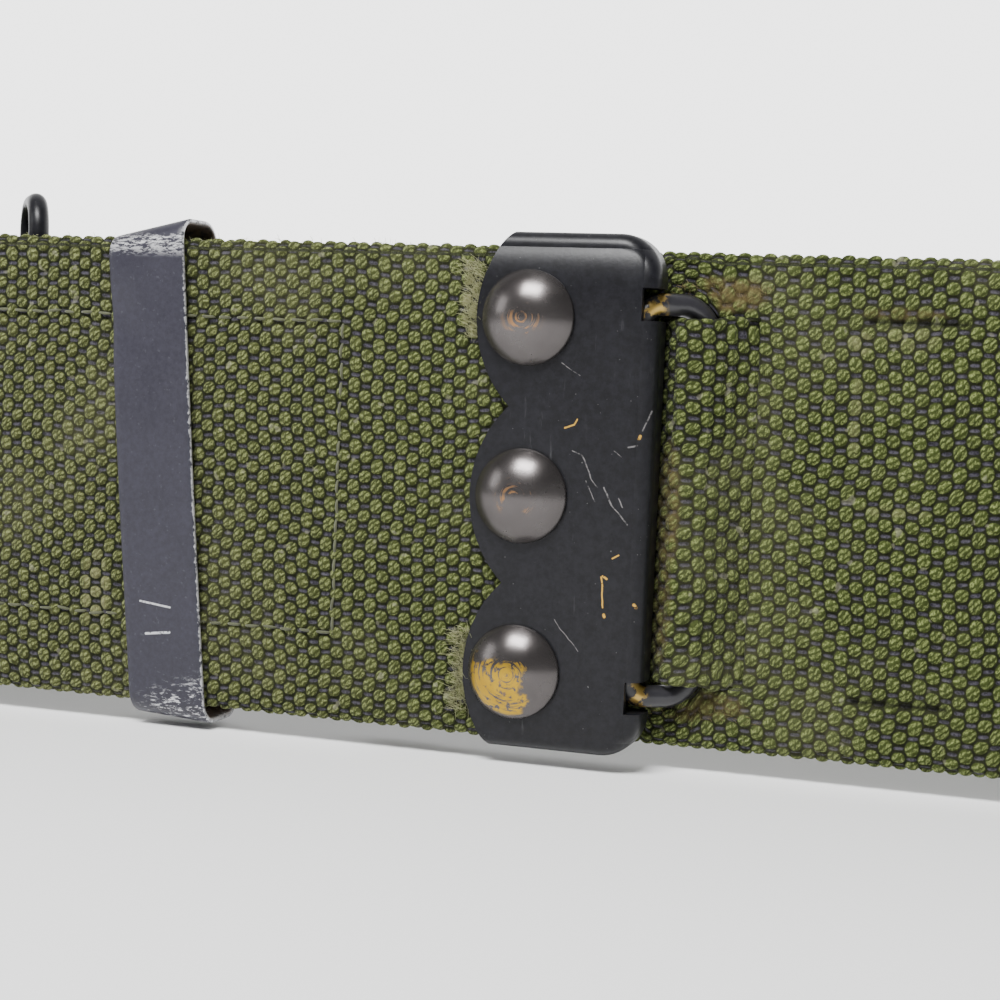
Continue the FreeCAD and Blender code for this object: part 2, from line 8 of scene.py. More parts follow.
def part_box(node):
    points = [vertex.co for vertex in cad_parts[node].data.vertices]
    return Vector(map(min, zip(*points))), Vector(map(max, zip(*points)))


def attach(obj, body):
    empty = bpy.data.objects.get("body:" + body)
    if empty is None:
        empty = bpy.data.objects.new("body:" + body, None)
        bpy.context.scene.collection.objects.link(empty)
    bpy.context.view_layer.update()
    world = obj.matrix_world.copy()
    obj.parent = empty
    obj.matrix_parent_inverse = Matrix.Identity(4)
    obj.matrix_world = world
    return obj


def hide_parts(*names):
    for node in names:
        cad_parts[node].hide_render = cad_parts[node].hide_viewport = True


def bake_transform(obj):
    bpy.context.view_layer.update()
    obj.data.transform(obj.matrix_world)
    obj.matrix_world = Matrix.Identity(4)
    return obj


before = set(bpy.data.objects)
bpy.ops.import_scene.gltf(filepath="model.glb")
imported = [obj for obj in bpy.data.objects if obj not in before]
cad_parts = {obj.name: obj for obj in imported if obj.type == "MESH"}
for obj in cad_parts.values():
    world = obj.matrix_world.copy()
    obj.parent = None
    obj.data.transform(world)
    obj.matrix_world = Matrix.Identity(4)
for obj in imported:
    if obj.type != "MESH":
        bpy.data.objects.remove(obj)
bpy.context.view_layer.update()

random = np.random.default_rng(7)

# ---------------------------------------------------------------- sizes, in metres
MM = 0.001
COLUMN = 1.48 * MM            # one weft yarn to the next, along the belt
EDGE_ROWS = 50                # beads once round the webbing's section
RELIEF = 0.55 * MM            # depth of the gaps between beads
BEAD_HALF = (0.545, 0.355)    # half sizes of a bead, in columns and rows
BEAD_UNEVEN = 0.035           # beads of every second column are taller by this, others shorter
BEAD_POWER = 2.3              # how square a bead is
DASH_HALF = (0.40, 0.100)     # half sizes of a warp dash, in columns and rows
DASH_HEIGHT = 0.40            # its height as a share of a bead's
FINE_STEPS = 5                # mesh steps in one column where the relief is real
FRONT_STEPS = 6               # mesh steps in one row on the front
BACK_STEPS = 3
SLOT_LENGTH = 11.6 * MM
SLOT_PITCH = 23.6 * MM
SLOT_OFFSET = 21.5 * MM       # from the middle of the webbing to a slit
SLOT_NUMBERS = (-1, 1, 2, 3, 4)
SLIT_SINK = 0.55 * MM         # depth of the crease at a closed slit
WINDOW_OPEN = 2.5 * MM        # how far the claw's arm pushes the slit open
CLAW_CURVE = 4.9 * MM         # outer radius of a claw where it turns in behind the tongue
TONGUE_RISE = 4.3 * MM        # how far the tongue arches in front of the webbing
TONGUE_THICK = 1.7 * MM
TONGUE_HALF = 21.2 * MM       # half its width
TONGUE_LEAN = 0.716           # below 1 puts the arch's crown nearer the plate
TONGUE_ROUND = 1.8            # above 1 rounds off the arch's two feet
FINE_LENGTH = 84 * MM         # length of each half that carries full relief
FADE_LENGTH = 14 * MM         # length over which the relief then dies away
SETTLE_LENGTH = 40 * MM       # the yarns run straight again this close to the rear seam
FRONT_Y = -60 * MM            # worn places show only in front of this
REAR_DROOP = 2.6 * MM         # the rear of the loop settles on the floor
DROOP_Y = (-70 * MM, 50 * MM)  # where the droop begins and where it is whole
SELVAGE = 0.45 * MM           # loose edge yarns stand this far out of the drawn edge


def middle(node):
    low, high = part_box(node)
    return (Vector(low) + Vector(high)) / 2


strap_low, strap_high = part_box("buckle_strap")
tail_low, tail_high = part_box("tail_strap")
rear_low, rear_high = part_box("belt_webbing_rear")
(WINDOW_START, _, _), (WINDOW_END, _, _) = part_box("slot_bridge")
claw_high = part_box("claw_loop")[1]
THICK = strap_high[1] - strap_low[1]
HALF_WIDTH = (strap_high[2] - strap_low[2]) / 2 + SELVAGE
MIDDLE_Z = (strap_high[2] + strap_low[2]) / 2
EDGE_RADIUS = THICK / 2
FLAT_HALF = HALF_WIDTH - EDGE_RADIUS
PERIMETER = 4 * FLAT_HALF + 2 * math.pi * EDGE_RADIUS
ROW = PERIMETER / EDGE_ROWS
REAR_Y = rear_high[1] - THICK / 2


# ---------------------------------------------------------------- mesh helpers

def new_object(name, vertices, faces, material, flat=0, attributes=None):
    """Smooth mesh object whose last few faces are flat, with attributes on its points."""
    mesh = bpy.data.meshes.new(name)
    mesh.from_pydata([tuple(v) for v in vertices], [], [tuple(f) for f in faces])
    mesh.update()
    rounded = len(mesh.polygons) - flat
    mesh.polygons.foreach_set("use_smooth", [True] * rounded + [False] * flat)
    for key, values in (attributes or {}).items():
        values = np.asarray(values, np.float32)
        if values.ndim == 1:
            layer = mesh.attributes.new(key, "FLOAT", "POINT")
            layer.data.foreach_set("value", values)
        else:
            layer = mesh.attributes.new(key, "FLOAT_VECTOR", "POINT")
            layer.data.foreach_set("vector", values.ravel())
    mesh.materials.append(material)
    piece = bpy.data.objects.new(name, mesh)
    bpy.context.collection.objects.link(piece)
    return piece


def tube_faces(rings, points, first=0, turned=False, closed=False):
    """Quads that join rings of points into a tube, then its two ends unless it is closed."""
    i = np.arange(rings if closed else rings - 1)[:, None] * points
    j = np.arange(points)[None, :]
    following = (i + points) % (rings * points)
    beside = (j + 1) % points
    quads = np.stack([i + j, i + beside, following + beside, following + j], axis=-1)
    faces = (quads.reshape(-1, 4) + first).tolist()
    if not closed:
        last = first + (rings - 1) * points
        faces += [list(range(first, first + points))[::-1], list(range(last, last + points))]
    return [face[::-1] for face in faces] if turned else faces


def arc(centre, radius, start, end, steps):
    """Points of an arc in a plane, angles in degrees."""
    angles = np.radians(np.linspace(start, end, steps))
    return [(centre[0] + radius * math.cos(a), centre[1] + radius * math.sin(a)) for a in angles]


# ---------------------------------------------------------------- node helpers

class Nodes:
    """Short calls that build the node tree of one material, or of the world."""

    def __init__(self, name, kind=bpy.data.materials):
        self.owner = kind.new(name)
        self.owner.use_nodes = True
        self.tree = self.owner.node_tree

    def plug(self, socket, value):
        if isinstance(value, bpy.types.NodeSocket):
            self.tree.links.new(value, socket)
        elif value is not None:
            socket.default_value = value

    def add(self, kind, *values, **settings):
        node = self.tree.nodes.new(kind)
        for key, value in settings.items():
            setattr(node, key, value)
        for socket, value in zip(node.inputs, values):
            self.plug(socket, value)
        return node

    def fill(self, node, **values):
        """Plugs values into a node's sockets by name, with _ for a space."""
        for name, value in values.items():
            self.plug(node.inputs[name.replace("_", " ")], value)
        return node.outputs[0]

    def math(self, operation, *values, clamp=False):
        return self.add("ShaderNodeMath", *values, operation=operation, use_clamp=clamp).outputs[0]

    def plus(self, first, second):
        return self.math("ADD", first, second)

    def minus(self, first, second):
        return self.math("SUBTRACT", first, second)

    def times(self, first, second):
        return self.math("MULTIPLY", first, second)

    def mix(self, factor, first, second):
        node = self.add("ShaderNodeMix", data_type="RGBA")
        self.plug(node.inputs[0], factor)
        self.plug(node.inputs[6], first)
        self.plug(node.inputs[7], second)
        return node.outputs[2]

    def smooth(self, value, low, high, at_low=0.0, at_high=1.0):
        """One level below low and another above high, smooth between; low may be above high."""
        if low > high:
            low, high, at_low, at_high = high, low, at_high, at_low
        return self.add("ShaderNodeMapRange", value, low, high, at_low, at_high,
                        interpolation_type="SMOOTHSTEP").outputs[0]

    def noise(self, vector, scale, detail=2.0, roughness=0.5):
        return self.fill(self.add("ShaderNodeTexNoise"), Vector=vector, Scale=scale,
                         Detail=detail, Roughness=roughness)

    def place(self):
        """Position on the object at rest, in metres."""
        return self.add("ShaderNodeTexCoord").outputs["Object"]

    def axes(self, vector):
        return self.add("ShaderNodeSeparateXYZ", vector).outputs

    def attribute(self, name, output="Fac"):
        return self.add("ShaderNodeAttribute", attribute_name=name).outputs[output]

    def stretched(self, vector, scale):
        return self.add("ShaderNodeVectorMath", vector, scale, operation="MULTIPLY").outputs[0]

    def surface(self, height=None, **values):
        """Bumps the surface by a height in metres, sets the shader and returns the material."""
        if height is not None:
            values["Normal"] = self.fill(self.add("ShaderNodeBump"), Strength=1.0, Distance=1.0,
                                         Height=height)
        self.fill(self.tree.nodes["Principled BSDF"], **values)
        return self.owner


def rgb(red, green, blue):
    return (red, green, blue, 1.0)


# ---------------------------------------------------------------- materials

def webbing_material(name):
    """Plain weave: oval green weft beads in brick order, grey warp dashes between them, with painted
    highlight on the plies and painted shade in the gaps, creases and slits.
    """
    n = Nodes(name)
    weave_place = n.attribute("weave", "Vector")
    weave = n.axes(weave_place)
    u = weave[0]
    column = n.math("FLOOR", u)
    across = n.minus(n.minus(u, column), 0.5)
    parity = n.math("FLOORED_MODULO", column, 2.0)
    v = n.math("MULTIPLY_ADD", parity, 0.5, weave[1])
    row = n.math("FLOOR", v)
    along = n.minus(n.minus(v, row), 0.5)
    wide = n.math("ABSOLUTE", across)
    tall = n.math("ABSOLUTE", along)

    def dome(across_part, along_part, uneven):
        half_tall = n.math("MULTIPLY_ADD", parity, -2.0 * uneven, BEAD_HALF[1] + uneven)
        edge = n.plus(n.math("POWER", n.math("DIVIDE", across_part, BEAD_HALF[0]), BEAD_POWER),
                      n.math("POWER", n.math("DIVIDE", along_part, half_tall), BEAD_POWER))
        return n.math("SQRT", n.math("MAXIMUM", n.minus(1.0, edge), 0.0))

    own = dome(wide, tall, BEAD_UNEVEN)
    next_wide = n.minus(1.0, wide)
    next_tall = n.minus(0.5, tall)
    beside = dome(next_wide, next_tall, -BEAD_UNEVEN)
    bead = n.math("MAXIMUM", own, beside)
    is_next = n.math("GREATER_THAN", beside, own)
    way = n.math("SIGN", across)
    across = n.minus(across, n.times(is_next, way))
    along_next = n.minus(along, n.times(n.math("SIGN", along), 0.5))
    along = n.plus(along, n.times(is_next, n.minus(along_next, along)))
    column = n.plus(column, n.times(is_next, way))
    level = n.math("ROUND", n.times(n.minus(v, along), 2.0))
    cell = n.add("ShaderNodeCombineXYZ", column, level).outputs[0]
    chance = n.add("ShaderNodeTexWhiteNoise", cell).outputs[0]

    lean = n.times(n.times(across, weave[2]), n.math("MULTIPLY_ADD", chance, 0.9, 1.0))
    turn = n.math("MULTIPLY_ADD", along, 3.0, lean)
    warped = n.math("MULTIPLY_ADD", n.noise(weave_place, 3.4), 1.3, turn)
    ply = n.math("SINE", n.times(n.plus(warped, chance), 2 * math.pi))
    # A crease down each bead's middle: a dip in the bump, and painted shade where it dims the ply
    # strokes.
    middle_place = n.math("MULTIPLY_ADD", chance, 0.2, n.minus(across, 0.1))
    seam = n.math("MULTIPLY_ADD", n.smooth(n.math("ABSOLUTE", middle_place), 0.0, 0.14), 0.7, 0.3)
    fibre_place = n.add("ShaderNodeCombineXYZ", n.times(turn, 2.6),
                        n.times(across, 4.5), n.times(chance, 9.0)).outputs[0]
    fibre = n.noise(fibre_place, 1.7, 3.0, 0.7)

    place = n.place()
    x = n.axes(place)[0]
    greener = n.smooth(n.plus(x, n.times(n.noise(place, 22.0), 0.05)), -0.035, 0.06)
    base = n.mix(greener, rgb(0.048, 0.054, 0.016), rgb(0.038, 0.052, 0.010))
    base = n.mix(n.times(chance, 0.5), base, rgb(0.022, 0.028, 0.006))
    # Lighter strokes along the plies: partly the yarn's own tone, partly painted highlight on the ply
    # ridges. The dark base left between strokes, towards each bead's rim and along its middle crease
    # is painted shade.
    light = n.mix(greener, rgb(0.255, 0.285, 0.115), rgb(0.235, 0.28, 0.095))
    ply_strokes_and_highlight = n.times(n.smooth(ply, -0.9, 0.7), n.smooth(bead, 0.1, 0.8))
    ply_strokes_and_highlight = n.times(n.times(ply_strokes_and_highlight, seam), n.smooth(fibre, 0.34, 0.62))
    colour = n.mix(n.times(ply_strokes_and_highlight, 0.85), base, light)
    # Painted shade in the gaps between beads, with ragged fibre edges.
    ragged = n.plus(bead, n.times(n.minus(fibre, 0.5), 1.1))
    colour = n.mix(n.smooth(ragged, 0.66, 0.08), colour, rgb(0.012, 0.014, 0.005))

    dash = n.plus(n.math("POWER", n.math("DIVIDE", wide, DASH_HALF[0]), 4.0),
                  n.math("POWER", n.math("DIVIDE", next_tall, DASH_HALF[1]), 2.0))
    grain = n.noise(place, 2300.0, 3.0, 0.7)
    dash = n.plus(dash, n.times(n.minus(grain, 0.5), 2.2))
    dash_mask = n.times(n.smooth(dash, 1.3, 0.2), n.smooth(bead, 0.6, 0.3))
    warp = n.mix(n.smooth(grain, 0.3, 0.7), rgb(0.016, 0.015, 0.020), rgb(0.082, 0.076, 0.095))
    colour = n.mix(dash_mask, colour, warp)

    blotch = n.noise(place, 60.0, 3.0)
    colour = n.mix(n.times(n.smooth(blotch, 0.45, 0.75), 0.12), colour, rgb(0.20, 0.195, 0.11))
    speck = n.smooth(n.noise(place, 620.0, 1.0), 0.70, 0.76)
    colour = n.mix(n.times(speck, 0.25), colour, rgb(0.36, 0.35, 0.25))
    fray = n.noise(place, 900.0, 4.0, 0.7)
    pale = n.times(n.attribute("pale"), n.smooth(fray, 0.3, 0.6))
    colour = n.mix(n.times(pale, n.smooth(bead, 0.1, 0.6)), colour, rgb(0.27, 0.265, 0.13))
    brown = n.times(n.attribute("brown"), n.smooth(fray, 0.28, 0.62))
    colour = n.mix(brown, colour, rgb(0.105, 0.078, 0.030))
    slit = n.attribute("slit")
    # Painted shade in the closed slits.
    colour = n.mix(n.times(slit, 0.85), colour, rgb(0.012, 0.013, 0.006))

    flat = n.minus(1.0, n.attribute("relief"))
    height = n.times(n.times(bead, flat), RELIEF)
    height = n.plus(height, n.times(n.times(ply, bead), 0.05 * MM))
    height = n.plus(height, n.times(n.plus(fibre, seam), 0.12 * MM))
    height = n.plus(height, n.times(grain, 0.07 * MM))
    height = n.plus(height, n.times(dash_mask, 0.08 * MM))
    return n.surface(height, Base_Color=colour, Roughness=0.85, Sheen_Weight=0.04,
                     Sheen_Roughness=0.5, Specular_IOR_Level=0.12)


def thread_material():
    n = Nodes("olive_thread")
    place = n.place()
    colour = n.mix(n.noise(place, 1500.0), rgb(0.032, 0.036, 0.014), rgb(0.098, 0.104, 0.055))
    height = n.times(n.noise(place, 2500.0), 0.05 * MM)
    return n.surface(height, Base_Color=colour, Roughness=0.8, Sheen_Weight=0.2)


def fuzz_material(name, dark, light):
    n = Nodes(name)
    colour = n.mix(n.noise(n.place(), 300.0), dark, light)
    return n.surface(Base_Color=colour, Roughness=0.9)


def segment_mask(n, x, z, start, end, width):
    """1 on a straight scratch between two points given in millimetres, 0 away from it."""
    ax, az = start[0] * MM, start[1] * MM
    bx, bz = end[0] * MM - ax, end[1] * MM - az
    length_squared = bx * bx + bz * bz
    px = n.minus(x, ax)
    pz = n.minus(z, az)
    dot = n.plus(n.times(px, bx), n.times(pz, bz))
    t = n.math("DIVIDE", dot, length_squared, clamp=True)
    dx = n.minus(px, n.times(t, bx))
    dz = n.minus(pz, n.times(t, bz))
    distance = n.math("SQRT", n.plus(n.times(dx, dx), n.times(dz, dz)))
    return n.smooth(distance, width * MM, width * MM * 0.45)


def most(n, masks):
    """The largest of several masks."""
    whole = masks[0]
    for mask in masks[1:]:
        whole = n.math("MAXIMUM", whole, mask)
    return whole


# Scratches on the plate, from the middle of the webbing: (x, z) to (x, z), half width, in mm.
BRASS_SCRATCHES = (((7.2, 8.1), (8.3, 8.5), 0.13), ((8.3, 8.5), (8.6, 9.1), 0.11),
                   ((12.3, -8.7), (12.6, -12.2), 0.12), ((12.5, -8.6), (12.9, -8.9), 0.18),
                   ((16.0, 7.3), (16.1, 7.6), 0.20), ((16.3, -11.6), (16.5, -11.9), 0.24),
                   ((13.6, -6.4), (14.3, -6.0), 0.12), ((12.8, -13.0), (12.9, -13.2), 0.2))
GREY_SCRATCHES = (((16.3, 8.2), (17.1, 10.4), 0.10), ((8.3, 5.6), (9.4, 5.2), 0.09),
                  ((9.4, 5.2), (10.6, 2.6), 0.10), ((10.6, 2.6), (11.4, 1.6), 0.08),
                  ((12.2, 1.6), (13.1, -0.4), 0.11), ((13.1, -0.4), (15.0, -2.6), 0.09),
                  ((13.9, 0.4), (14.4, -0.6), 0.09), ((10.0, 2.2), (11.2, -0.1), 0.07),
                  ((13.2, 5.8), (14.2, 5.0), 0.06), ((7.0, -14.0), (9.8, -17.6), 0.06),
                  ((14.8, 6.3), (15.8, 6.5), 0.12), ((6.5, 15.5), (8.8, 14.2), 0.06))


def plate_crown(n, axes):
    """How far the pressed plate's face falls away towards its bent edges."""
    low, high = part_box("buckle_plate")
    top = n.minus(high[2] - 1.8 * MM, axes[2])
    bottom = n.minus(axes[2], low[2] + 1.8 * MM)
    right = n.minus(high[0] - 1.8 * MM, axes[0])
    fall = 0.0
    for distance, depth, reach in ((top, 1.35 * MM, 2.4 * MM), (bottom, 0.35 * MM, 1.2 * MM),
                                   (right, 0.35 * MM, 1.2 * MM)):
        near = n.math("EXPONENT", n.math("DIVIDE", n.math("MAXIMUM", distance, 0.0), -reach))
        fall = n.math("MULTIPLY_ADD", near, depth, fall)
    return fall


def black_paint(name, scratches=False):
    """Semi-gloss black paint with fine handling marks, dust and optional chips to brass."""
    n = Nodes(name)
    place = n.place()
    axes = n.axes(place)
    cloud = n.noise(place, 120.0, 4.0, 0.6)
    grain = n.smooth(n.noise(place, 1100.0, 4.0, 0.75), 0.3, 0.7)
    colour = n.mix(n.mix(0.6, cloud, grain), rgb(0.0026, 0.0026, 0.0034),
                   rgb(0.01105, 0.01105, 0.01445))
    scuffs = n.noise(n.stretched(place, (1.0, 1.0, 0.12)), 1500.0, 3.0, 0.65)
    scuff_mask = n.times(n.smooth(scuffs, 0.62, 0.8), n.smooth(cloud, 0.45, 0.7))
    colour = n.mix(n.times(scuff_mask, 0.25), colour, rgb(0.19, 0.19, 0.2))
    dust = n.smooth(n.noise(place, 2600.0, 1.0), 0.76, 0.8)
    colour = n.mix(n.times(dust, 0.3), colour, rgb(0.3, 0.3, 0.3))
    metallic = 0.0
    if scratches:
        bend = n.times(n.minus(n.noise(place, 350.0), 0.5), 0.6 * MM)
        x = n.plus(axes[0], bend)
        z = n.plus(n.minus(axes[2], MIDDLE_Z), bend)
        brass = most(n, [segment_mask(n, x, z, *scratch) for scratch in BRASS_SCRATCHES])
        grey = most(n, [segment_mask(n, x, z, *scratch) for scratch in GREY_SCRATCHES])
        grey = n.times(grey, n.smooth(n.noise(place, 1800.0), 0.32, 0.55))
        colour = n.mix(n.times(grey, 0.6), colour, rgb(0.24, 0.23, 0.23))
        brass = n.times(brass, n.smooth(n.noise(place, 2600.0), 0.30, 0.42))
        colour = n.mix(brass, colour, rgb(0.60, 0.36, 0.07))
        metallic = n.times(brass, 0.75)
    gloss = n.math("MULTIPLY_ADD", cloud, 0.16, 0.28)
    height = n.times(grain, 0.006 * MM)
    height = n.minus(height, n.times(scuff_mask, 0.01 * MM))
    if scratches:
        height = n.minus(height, plate_crown(n, axes))
    return n.surface(height, Base_Color=colour, Roughness=gloss, Metallic=metallic,
                     Specular_IOR_Level=0.27)


def keeper_material():
    """Blue-black paint worn to bright steel at the folds and long edges."""
    n = Nodes("keeper_paint")
    place = n.place()
    edge = n.attribute("edge")
    axes = n.axes(place)
    height = n.minus(axes[2], MIDDLE_Z)
    x = n.minus(axes[0], KEEPER_X)
    cloud = n.noise(place, 140.0, 4.0, 0.6)
    fine = n.noise(place, 1500.0, 4.0, 0.75)
    streak = n.noise(n.stretched(place, (0.45, 1.0, 1.6)), 1900.0, 4.0, 0.75)
    grain = n.mix(0.5, cloud, n.smooth(fine, 0.3, 0.7))
    colour = n.mix(grain, rgb(0.008, 0.0073, 0.015), rgb(0.027, 0.0255, 0.041))
    speckle = n.smooth(n.noise(place, 1900.0, 2.0), 0.66, 0.72)
    colour = n.mix(n.times(speckle, 0.06), colour, rgb(0.3, 0.3, 0.33))
    worn_edge = n.smooth(n.plus(edge, n.times(n.minus(fine, 0.5), 0.24)), 0.975, 1.01)
    top_band = n.times(n.smooth(height, 26.2 * MM, 28.0 * MM),
                       n.smooth(height, 29.5 * MM, 28.6 * MM))
    top_wear = n.times(top_band, n.smooth(streak, 0.47, 0.55))
    corner = n.plus(n.times(height, -1.0), n.times(x, 0.35))
    low_band = n.times(n.smooth(corner, 25.8 * MM, 29.5 * MM), n.smooth(x, -2.5 * MM, 1.0 * MM))
    low_wear = n.times(low_band, n.smooth(streak, 0.53, 0.63))
    marks = [segment_mask(n, x, height, (-1.5, -16.0), (2.6, -16.5), 0.16),
             segment_mask(n, x, height, (-0.6, -20.0), (2.6, -19.6), 0.20)]
    mark = n.times(most(n, marks), n.smooth(fine, 0.35, 0.5))
    worn = most(n, [worn_edge, top_wear, low_wear, mark])
    colour = n.mix(worn, colour, rgb(0.62, 0.62, 0.64))
    grime = n.times(n.attribute("inner"), n.smooth(fine, 0.3, 0.6))
    colour = n.mix(grime, colour, rgb(0.085, 0.058, 0.035))
    worn = n.times(worn, n.minus(1.0, grime))
    gloss = n.math("MULTIPLY_ADD", cloud, 0.2, 0.34)
    return n.surface(n.times(fine, 0.025 * MM), Base_Color=colour, Roughness=gloss,
                     Metallic=n.times(worn, 0.7))


def cap_material(name, node, bare):
    """Blackened brass dome: a lighter rubbed crown, ring scratches and bare brass patches."""
    n = Nodes(name)
    place = n.place()
    axes = n.axes(place)
    centre = middle(node)
    x = n.minus(axes[0], centre[0])
    z = n.minus(axes[2], centre[2])
    radius = n.math("SQRT", n.plus(n.times(x, x), n.times(z, z)))
    cloud = n.noise(place, 260.0, 4.0, 0.6)
    colour = n.mix(cloud, rgb(0.075, 0.067, 0.066), rgb(0.13, 0.12, 0.118))
    ring_place = n.add("ShaderNodeCombineXYZ", n.times(radius, 2600.0),
                       n.times(x, 260.0), n.times(z, 260.0)).outputs[0]
    rings = n.noise(ring_place, 1.0, 3.0, 0.65)
    near = n.smooth(radius, 2.9 * MM, 1.0 * MM)
    patches = n.noise(place, 420.0, 3.0, 0.6)
    scratch = n.times(n.times(near, n.smooth(rings, 0.52, 0.60)), n.smooth(patches, 0.46, 0.58))
    colour = n.mix(n.times(scratch, 0.85), colour, rgb(0.36, 0.19, 0.08))
    worn = scratch
    if bare:
        corner = n.math("MAXIMUM", n.minus(x, 1.5 * MM), n.minus(z, 1.5 * MM))
        corner = n.math("MULTIPLY_ADD", n.minus(patches, 0.5), 5.0 * MM, corner)
        bare_mask = n.times(n.smooth(corner, 0.3 * MM, -0.5 * MM),
                            n.smooth(radius, 5.2 * MM, 4.6 * MM))
        bare_mask = n.times(bare_mask, n.smooth(rings, 0.40, 0.50))
        bare_mask = n.times(bare_mask, n.smooth(n.noise(place, 1500.0, 2.0), 0.34, 0.46))
        bare_brass = n.mix(cloud, rgb(0.34, 0.19, 0.012), rgb(0.62, 0.40, 0.035))
        colour = n.mix(bare_mask, colour, bare_brass)
        worn = most(n, [scratch, bare_mask])
    gloss = n.math("MULTIPLY_ADD", worn, 0.12, n.math("MULTIPLY_ADD", cloud, 0.14, 0.19))
    return n.surface(n.times(rings, 0.006 * MM), Base_Color=colour, Roughness=gloss, Metallic=0.85)


def wire_material():
    """Black wire rubbed to brass on its ends and where it bears."""
    n = Nodes("claw_paint")
    place = n.place()
    axes = n.axes(place)
    height = n.math("ABSOLUTE", n.minus(axes[2], MIDDLE_Z))
    cloud = n.noise(place, 500.0, 4.0, 0.65)
    colour = n.mix(cloud, rgb(0.010, 0.010, 0.013), rgb(0.032, 0.031, 0.035))
    arms = n.times(n.smooth(axes[0], 18.2 * MM, 17.2 * MM), n.smooth(height, 20.5 * MM, 21.5 * MM))
    rubbed = n.times(arms, n.smooth(cloud, 0.50, 0.57))
    colour = n.mix(rubbed, colour, rgb(0.47, 0.32, 0.09))
    return n.surface(n.times(cloud, 0.04 * MM), Base_Color=colour, Roughness=0.3,
                     Metallic=n.times(rubbed, 0.8))


def brass_material():
    n = Nodes("dull_brass")
    place = n.place()
    cloud = n.noise(place, 400.0, 4.0, 0.6)
    colour = n.mix(cloud, rgb(0.34, 0.23, 0.08), rgb(0.62, 0.46, 0.19))
    return n.surface(n.times(cloud, 0.03 * MM), Base_Color=colour, Roughness=0.38, Metallic=0.95)


# ---------------------------------------------------------------- webbing

def section(front_steps, back_steps, half=HALF_WIDTH, radius=EDGE_RADIUS, marks=()):
    """Points round the webbing's section: distance, height and the normal's two parts."""
    flat = half - radius
    bend = math.pi * radius
    front = np.linspace(0, 2 * flat, round(2 * flat / ROW * front_steps) + 1)
    back = np.linspace(0, 2 * flat, round(2 * flat / ROW * back_steps) + 1)
    arcs = np.linspace(0, math.pi, max(4, round(bend / ROW * front_steps)) + 1)[1:-1]
    for mark in marks:
        for side in (front, back):
            side[np.argmin(abs(side - (flat - mark)))] = flat - mark
    distance = np.concatenate([front, 2 * flat + arcs * radius, 2 * flat + bend + back,
                               4 * flat + bend + arcs * radius])
    out = np.concatenate([np.ones(front.shape), np.cos(arcs), -np.ones(back.shape),
                          -np.cos(arcs)])
    up = np.concatenate([np.zeros(front.shape), -np.sin(arcs), np.zeros(back.shape),
                         np.sin(arcs)])
    straight = np.concatenate([flat - front, np.full(arcs.shape, -flat), back - flat,
                               np.full(arcs.shape, flat)])
    return distance, straight + radius * up, out, up


def weave_relief(u, v):
    """Height of the weave from 0 in the gaps to 1 on the crowns of its beads."""
    column = np.floor(u)
    odd = np.mod(column, 2)
    wide = abs(u - column - 0.5)
    shifted = v + 0.5 * odd
    tall = abs(shifted - np.floor(shifted) - 0.5)

    def dome(across, along, uneven):
        half_tall = BEAD_HALF[1] + uneven * (1 - 2 * odd)
        edge = (across / BEAD_HALF[0]) ** BEAD_POWER + (along / half_tall) ** BEAD_POWER
        return np.sqrt(np.maximum(0, 1 - edge))

    bead = np.maximum(dome(wide, tall, BEAD_UNEVEN), dome(1 - wide, 0.5 - tall, -BEAD_UNEVEN))
    dash = (np.clip(1 - ((0.5 - tall) / DASH_HALF[1]) ** 2, 0, 1)
            * np.clip(1 - (wide / DASH_HALF[0]) ** 4, 0, 1))
    return np.maximum(bead, DASH_HEIGHT * dash)


def wobble(s, z):
    """Small drift of the yarns, in metres along the belt and across it."""
    along = 0.22 * MM * np.sin(z * 260 + s * 40) + 0.12 * MM * np.sin(z * 710 + s * 95 + 1.3)
    across = 0.25 * MM * np.sin(s * 180 + z * 60) + 0.14 * MM * np.sin(s * 530 + z * 120 + 0.6)
    return along, across


def spots(x, z, places):
    """Soft patches: each place's strength in its middle, fading to nothing at its rim."""
    total = 0.0
    for px, pz, wide, tall, strength in places:
        near = 1 - ((x - px * MM) / (wide * MM)) ** 2 - ((z - pz * MM) / (tall * MM)) ** 2
        total = np.maximum(total, strength * np.clip(near * 1.6, 0, 1))
    return total


# Worn places on the front, from the middle of the webbing, in millimetres: x, z, half width,
# half height, and then the strength.
PALE_PLACES = ((-4.6, 22.0, 2.0, 4.5, 0.95), (-4.0, -21.0, 1.6, 4.0, 0.8),
               (-53.5, -15.5, 2.2, 6.0, 0.4), (39.2, 19.0, 1.8, 1.6, 0.35),
               (39.2, 11.0, 0.8, 6.0, 0.2), (44.0, 0.4, 5.0, 0.7, 0.22),
               (26.0, 24.5, 4.0, 2.5, 0.2), (45.0, 20.0, 4.0, 2.0, 0.2))
BROWN_PLACES = ((24.5, 24.0, 4.5, 2.2, 0.8), (18.6, -1.0, 2.0, 9.0, 0.6),
                (18.4, -12.0, 1.6, 8.0, 0.5), (24.0, -23.5, 5.0, 1.8, 0.5),
                (44.0, 22.4, 5.5, 0.8, 0.5))


